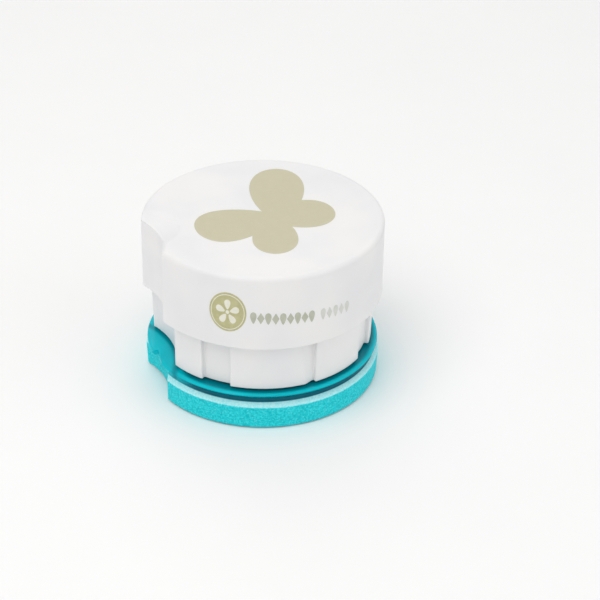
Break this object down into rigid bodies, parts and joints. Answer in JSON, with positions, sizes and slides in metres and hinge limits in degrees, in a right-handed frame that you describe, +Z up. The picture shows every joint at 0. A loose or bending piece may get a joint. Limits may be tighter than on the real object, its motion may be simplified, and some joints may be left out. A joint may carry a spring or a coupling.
{
  "type": "craft punch",
  "caption": "Round push-down craft punch for paper: white cap over a fluted white body on a teal base, butterfly punch and die, spring return.",
  "frame": {"origin": "centre of the cap's circle, on the plane that the foot ring stands on", "axes": "+Z up, against the press; -X through the middle of the thumb recess; -Y towards the side that carries the printed badge"},
  "size_m": [0.0839, 0.085, 0.0614],
  "materials": {
    "white_plastic": "fine satin moulding",
    "teal_plastic": "glossy table and cove, frosted outer wall",
    "grey_plastic": "satin moulding",
    "foot_rubber": "matte",
    "tool_steel": "ground",
    "plate_steel": "rolled, zinc plated",
    "spring_steel": "drawn wire",
    "plated_steel": "bright zinc",
    "die_cast_zinc": "die cast, unpainted",
    "bushing_bronze": "sintered bronze"
  },
  "bodies": {
    "base": {"base_tray": "teal_plastic", "bottom_cover": "teal_plastic", "foot_ring": "foot_rubber", "cover_screws": "plated_steel", "die_plate": "tool_steel", "throat_spacer": "tool_steel", "guide_block": "die_cast_zinc", "clamp_screws": "plated_steel", "dowel_pins": "tool_steel", "body_shell": "white_plastic", "body_screws": "plated_steel", "stop_washers": "plated_steel", "post_screws": "plated_steel", "guide_post_1": "tool_steel", "return_spring_1": "spring_steel", "guide_post_2": "tool_steel", "return_spring_2": "spring_steel", "guide_post_3": "tool_steel", "return_spring_3": "spring_steel", "guide_post_4": "tool_steel", "return_spring_4": "spring_steel"},
    "plunger": {"cap": "white_plastic", "pressure_hub": "grey_plastic", "carrier_plate": "plate_steel", "punch_backing": "grey_plastic", "butterfly_punch": "tool_steel", "punch_screws": "plated_steel", "cap_screws": "plated_steel", "bushing_1": "bushing_bronze", "bushing_2": "bushing_bronze", "bushing_3": "bushing_bronze", "bushing_4": "bushing_bronze"}
  },
  "joints": [
    {"name": "press_slide", "type": "slide", "parent": "base", "child": "plunger", "axis": [0, 0, -1], "range_m": [0, 0.008], "stiffness_N_per_m": 5700, "springref_m": -0.003, "deforming": ["return_spring_1", "return_spring_2", "return_spring_3", "return_spring_4"]}
  ]
}
